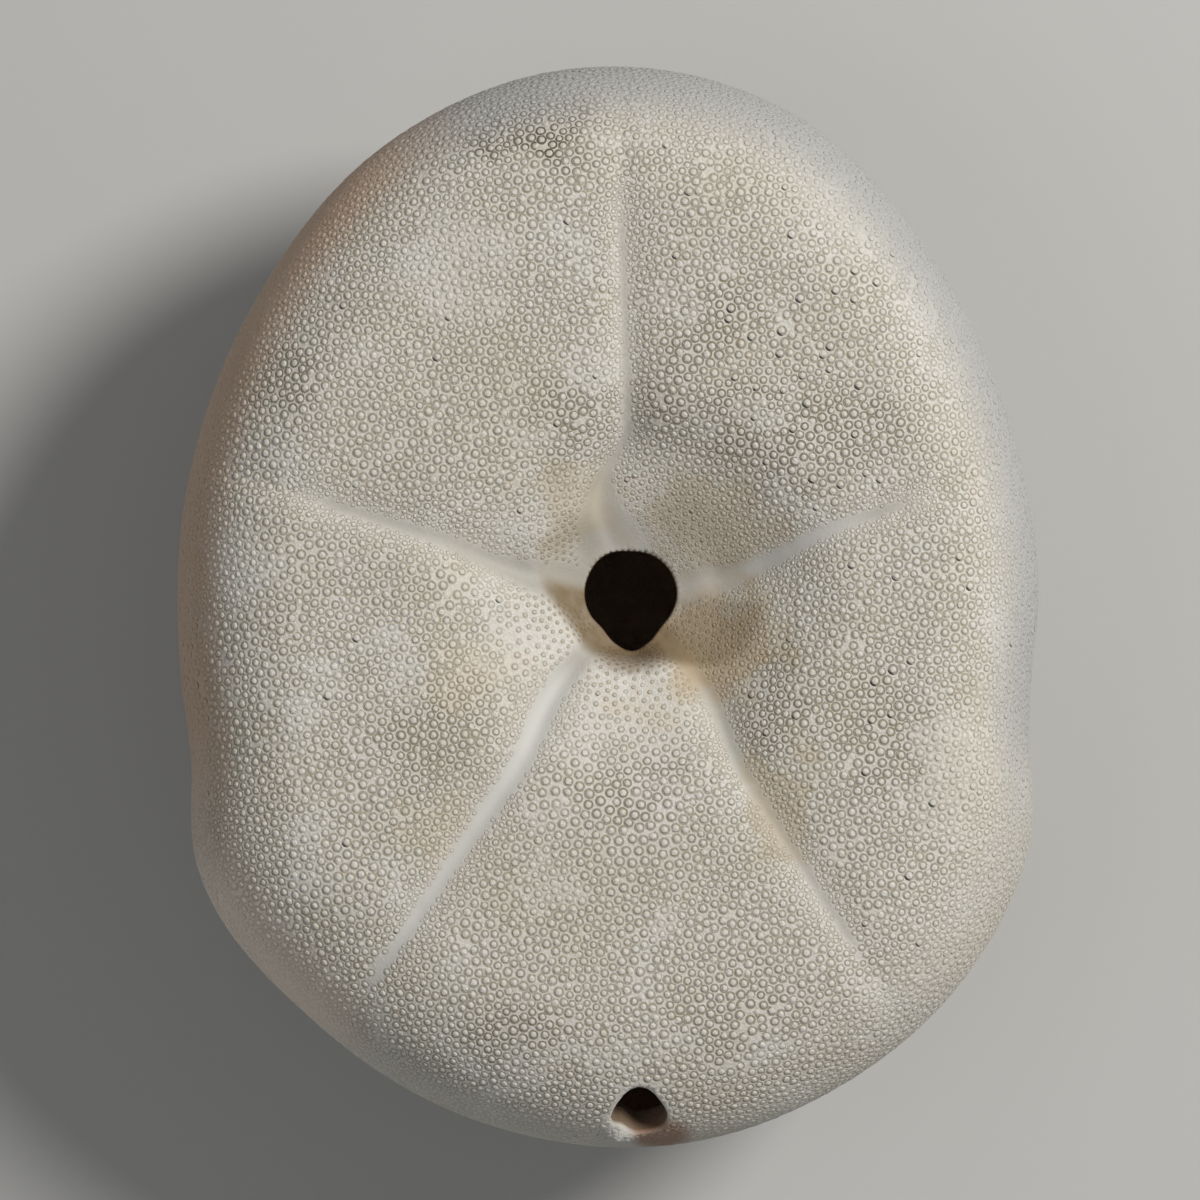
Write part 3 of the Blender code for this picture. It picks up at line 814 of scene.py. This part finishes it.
def cream_calcite(name):
    finish = Finish(name)
    noise, measured, vector = finish.noise, finish.measured, finish.vector
    band, blend, layers, spot, spots = finish.band, finish.blend, finish.layers, finish.spot, finish.spots
    place = finish.add("ShaderNodeTexCoord", {}).out("Object")
    axes = finish.add("ShaderNodeSeparateXYZ", {}, place)
    local = finish.add("ShaderNodeUVMap", {"uv_map": "areole"})
    bare_here, within_here = measured("bare"), measured("within")
    steep_stain_and_shade, margin_here = measured("steep"), measured("margin")
    tone_here, pored_here = measured("tone"), measured("pored")
    broad, patch = noise(place, 42.0, 4.0), noise(place, 130.0, 3.0)
    middling, fine = noise(place, 700.0), noise(place, 3000.0)
    out = vector("LENGTH", local).out("Value") + (middling - 0.5) * 0.3

    # Stains have edges that wander, and colours that belong to one spot are kept to the upper side
    wander = finish.add("ShaderNodeTexNoise", {}, Vector=place, Scale=160.0, Detail=3.0).out("Color")
    wander = vector("MULTIPLY", vector("SUBTRACT", wander, (0.5, 0.5, 0.5)), (0.016, 0.016, 0.0))
    drifted = vector("ADD", place, wander)
    upper = band(axes.out("Z"), 0.028, 0.034)

    # Ground colour: whitish to cream in patches, with fine pale granules and a few warm spots
    granule = band(finish.add("ShaderNodeTexVoronoi", {}, Vector=place, Scale=2700.0), 0.6, 0.2)
    colour = layers(
        (0.65, 0.625, 0.57),
        (band(patch, 0.38, 0.66), (0.69, 0.675, 0.63)),
        (band(broad, 0.42, 0.7) * 0.5, (0.605, 0.55, 0.46)),
        (band(fine, 0.6, 0.38) * 0.3, (0.42, 0.39, 0.32)),
        (granule * 0.35 * (1 - bare_here), (0.78, 0.765, 0.72)),
        *[(spot(drifted, *where) * upper * 0.25, (0.68, 0.56, 0.42))
          for where in ((-15.5, -7.5, 7, 5), (3.5, -12.5, 5, 2.5), (-18, -24, 6, 5))])

    # Stains and cloudy patches as they lie on this shell
    stain = upper * spots(
        drifted, (-8.5, 52.5, 11, 5, 0.95), (21, 19, 14, 6, 0.45), (2.6, 22, 8, 5, 0.35),
        (-37, 25, 5, 4, 0.4), (-4, 20, 4, 9, 0.35), (11, 30, 6, 6, 0.4), (29, -13, 8, 9, 0.3),
        (-20, -14, 9, 7, 0.3), (2, -20, 7, 5, 0.35), (-11, -48, 7, 5, 0.4), (13, -44, 9, 5, 0.25),
        (17.5, -10, 5, 6, 0.45))
    cloud = upper * band(patch, 0.54, 0.68).most(spots(
        drifted, (-40, 4, 5, 8, 1), (-18, 38, 8, 7, 1), (38, -17, 6, 9, 1), (28, 44, 9, 6, 1)))
    colour = blend(stain * 0.14, colour, (0.42, 0.35, 0.25))

    # Rings: thin, olive to tan, partly dirt and partly painted shade in the sunken ring, darker in the stains
    # and faint in the cloudy patches; pores are dark
    ring_mask = band(out, 0.64, 0.8) * band(out, 1.2, 0.98)
    ring_dirt_and_shade_colour = layers((0.18, 0.16, 0.09), (tone_here, (0.35, 0.305, 0.21)), (stain, (0.1, 0.078, 0.045)))
    strength = (0.62 + tone_here * 0.2 + stain * 0.35) * (1 - cloud * 0.6) * (1 - pored_here)
    strength = strength * (1 - measured("faint") * 0.75)
    dot_mask = band(out, 1.2, 0.6) * measured("dotted")
    colour = layers(colour, (ring_mask * strength, ring_dirt_and_shade_colour), (dot_mask * 0.5, (0.36, 0.285, 0.175)),
                    (band(out, 0.6, 0.3) * pored_here * 0.9, (0.07, 0.055, 0.04)))

    # Bare beds of the grooves: palest along the groove at the lower left
    pale = spots(
        place, (-7, -13, 6, 9, 0.62), (-12, -21, 6, 9, 0.6), (-17, -29, 6, 9, 0.55), (-23, -38, 7, 9, 0.55),
        (14.5, 4, 8, 5, 0.45), (23, 7, 8, 5, 0.45), (4, 9, 6, 6, 0.35))
    colour = layers(colour, (bare_here * 0.8, (0.41, 0.395, 0.355)), (bare_here * pale, (0.68, 0.68, 0.655)))

    # The rim's upper half: painted shade, grey on the right and top where the key light falls hardest,
    # reddish brown on the left; worn pale at the lower left
    rim_shade_colour = blend(band(axes.out("X"), -0.03, -0.012), (0.52, 0.355, 0.245), (0.4, 0.405, 0.4))
    front = band(axes.out("Y"), -0.038, -0.008)
    colour = layers(colour, (margin_here * (0.05 + front * 0.75), rim_shade_colour),
                    (spot(place, -36, -38, 13, 16) * margin_here * 0.6, (0.82, 0.71, 0.6)))

    # Tan by the mouth and to its right; brown on its steep walls and just below its edge, partly stain and
    # partly painted shade; the walls of both openings painted dark as shade; the anal opening has a pale lip
    # and a reddish spot beside it
    tan = spots(drifted, (11, 9, 9, 6.5, 0.42), (18, -20.5, 3.5, 8, 0.4), (-4, 12, 6, 6, 0.35))
    beside = spot(drifted, 12, -3.4, 11, 8.5).most(spot(place, 9, -2.5, 4, 4) * 0.8)
    colour = layers(
        colour,
        (tan * upper, (0.44, 0.34, 0.2)),
        (beside * beside * upper * (0.35 + patch * 0.4), (0.42, 0.285, 0.12)),
        (band(steep_stain_and_shade, 0.0, 1.0) * (0.65 + middling * 0.4), (0.19, 0.132, 0.062)),
        (spot(place, 2.6, -5.6, 4.5, 2.2) * upper * 0.6, (0.14, 0.085, 0.035)),
        (spot(place, 5.7, -58.3, 4.2, 2.2) * upper * 0.8, (0.25, 0.135, 0.085)),
        (spot(place, 0.8, -58.9, 2.6, 2.3) * upper, (0.53, 0.52, 0.49)),
        (band(steep_stain_and_shade, 1.05, 1.7), (0.13, 0.08, 0.05)),
        *[(spot(place, *where, 0.45, 2) * upper * 0.5, (0.74, 0.73, 0.69))
          for where in ((1.8, -8.8), (3.7, -8.5))])

    # Grit in the lower left of a ring, a thin reddish line in front of the mouth, and the hollow inside
    turn_at = vector("DOT_PRODUCT", local, (-0.6, -0.8, 0.0)).out("Value")
    grit_mask = band(out, 0.58, 0.72) * band(out, 1.15, 1.0) * band(turn_at, 0.45, 0.75)
    colour = layers(
        colour,
        (grit_mask * measured("speck") * 0.9, (0.014, 0.011, 0.008)),
        (spot(place, 2.6, 14.3, 1, 0.14) * upper * 0.5, (0.2, 0.08, 0.05)),
        (within_here, (0.74, 0.6, 0.46)),
        (within_here * spot(place, 3.6, -50, 16, 16), (0.8, 0.61, 0.43)))
    finish.give(finish.shader.inputs["Base Color"], colour)
    finish.give(finish.shader.inputs["Roughness"], 0.72 + fine * 0.16)
    finish.shader.inputs["Specular IOR Level"].default_value = 0.35

    relief = (fine - 0.5 + granule * 0.4) * (1 - bare_here * 0.85) + ring_mask * -0.45
    bump = finish.add("ShaderNodeBump", {}, Strength=0.6, Distance=0.00012, Height=relief)
    finish.give(finish.shader.inputs["Normal"], bump)
    return finish.material


calcite = cream_calcite("calcite_of_the_shell")
shell_mesh.materials.append(calcite)
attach(shell, "root")
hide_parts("shell")

# The bosses of the tubercles
# A low round boss of the same calcite fills most of every ring, grown on the shell; one joined piece for each
# pad and one for the dome.
boss_sides, boss_foot, boss_height = 6, 0.76, 0.18
level_reach, level_rise = np.array([1.0, 0.78]), np.array([-0.25, 0.62])


def bosses(name, members):
    count = len(members)
    size = ring[members]
    foot = boss_foot * size * rng.uniform(0.92, 1.06, count)
    high = boss_height * size * rng.uniform(0.7, 1.3, count) * (1 - 0.6 * faint[members])
    turns = np.linspace(0.0, 2 * np.pi, boss_sides, endpoint=False)
    hexagon = np.stack([np.cos(turns), np.sin(turns)], -1)
    flat = foot[:, None, None, None] * level_reach[:, None, None] * hexagon
    height = (high[:, None] * level_rise)[:, :, None, None]
    base, side, up, out = (part[members][:, None, None] for part in (points, across, upward, normal))
    spots = (base + flat[..., :1] * side + flat[..., 1:] * up + height * out).reshape(count, -1, 3)
    top = points[members] + high[:, None] * normal[members]
    spots = np.concatenate([spots, top[:, None]], 1)
    flat = np.concatenate([flat.reshape(count, -1, 2), np.zeros((count, 1, 2))], 1).reshape(-1, 2)
    facets = []
    for i in range(boss_sides):
        j = (i + 1) % boss_sides
        above, next_above = boss_sides + i, boss_sides + j
        facets += [(i, j, next_above), (i, next_above, above), (above, next_above, 2 * boss_sides)]
    facets = np.array(facets + [(0, i + 1, i) for i in range(1, boss_sides - 1)])
    each = 2 * boss_sides + 1
    owner = np.repeat(np.arange(count), each)
    triangles = (facets[None] + (np.arange(count) * each)[:, None, None]).reshape(-1, 3)
    corners = triangles.ravel()
    data = mesh_of(name, spots.reshape(-1, 3), triangles)
    centre = np.where(on_oral[members][:, None], oral_map[members], dome_map[members])
    corner_map(data, "OFBake", placed(centre[owner] + flat, 0.01, 0.01, 0.98, 0.98)[corners])
    corner_map(data, "areole", (flat / size[owner][:, None])[corners])
    for kind, values in of_each:
        measure(data, kind, "FACE", np.repeat(values[members], len(facets)))
    for kind, values in (("bare", bare), ("steep", steep), ("margin", margin)):
        measure(data, kind, "POINT", values[members][owner])
    data.materials.append(calcite)
    item = shown(name, data)
    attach(item, "root")


has_boss = stands == RINGED
pad = np.searchsorted(np.radians([groove[1] for groove in grooves]), place_angle) % len(grooves)
for number, pad_name in enumerate(["right", "front_right", "front_left", "left", "rear"]):
    bosses("bosses_" + pad_name, np.flatnonzero(has_boss & on_oral & (pad == number)))
bosses("bosses_dome", np.flatnonzero(has_boss & ~on_oral))

# The view: straight down on the oral face
# The camera hangs far above the shell, so the widest outline fills the frame as in the photograph.
frame_width = 1200
shell_long_px, shell_middle_px = 1080.0, (608.0, 607.0)
camera_height = 1.25
widest_level = float(look_up(surface, grid_angle, widest_share)[:, 2].mean()) * 0.001
shell_long = (surface[:, :, 1].max() - surface[:, :, 1].min()) * 0.001
metres_per_px = shell_long / shell_long_px
view_width = metres_per_px * frame_width
camera_data = bpy.data.cameras.new("camera")
camera = shown("camera", camera_data)
camera_data.sensor_width = 36.0
camera_data.lens = camera_data.sensor_width * (camera_height - widest_level) / view_width
camera.location = (metres_per_px * (frame_width / 2 - shell_middle_px[0]),
                   metres_per_px * (shell_middle_px[1] - frame_width / 2), camera_height)
camera_data.clip_start = 0.01
bpy.context.scene.camera = camera

# The studio: a plain pale floor and soft light from the top right of the picture
floor_mesh = bpy.data.meshes.new("floor")
floor_mesh.from_pydata([(-2, -2, 0), (2, -2, 0), (2, 2, 0), (-2, 2, 0)], [], [(0, 1, 2, 3)])
floor = shown("floor", floor_mesh)
paper = Finish("pale_paper")
paper.shader.inputs["Base Color"].default_value = (0.52, 0.52, 0.51, 1.0)
paper.shader.inputs["Roughness"].default_value = 0.9
floor_mesh.materials.append(paper.material)


def soft_light(name, place, size, watts, colour):
    lamp = bpy.data.lights.new(name, "AREA")
    lamp.shape, lamp.size, lamp.energy, lamp.color = "DISK", size, watts, colour
    item = shown(name, lamp)
    item.location = place
    item.rotation_euler = (Vector((0.0, 0.0, 0.03)) - Vector(place)).to_track_quat("-Z", "Y").to_euler()


soft_light("key", (0.66, 0.38, 0.79), 0.34, 10.7, (1.0, 0.975, 0.94))
soft_light("fill", (-0.6, -0.2, 0.9), 0.8, 1.2, (0.95, 0.97, 1.0))
world = bpy.data.worlds.new("studio")
bpy.context.scene.world = world
world.use_nodes = True
sky = world.node_tree.nodes["Background"].inputs
sky["Color"].default_value = (1.0, 1.0, 1.0, 1.0)
sky["Strength"].default_value = 0.17
bpy.context.scene.view_settings.view_transform = "Standard"
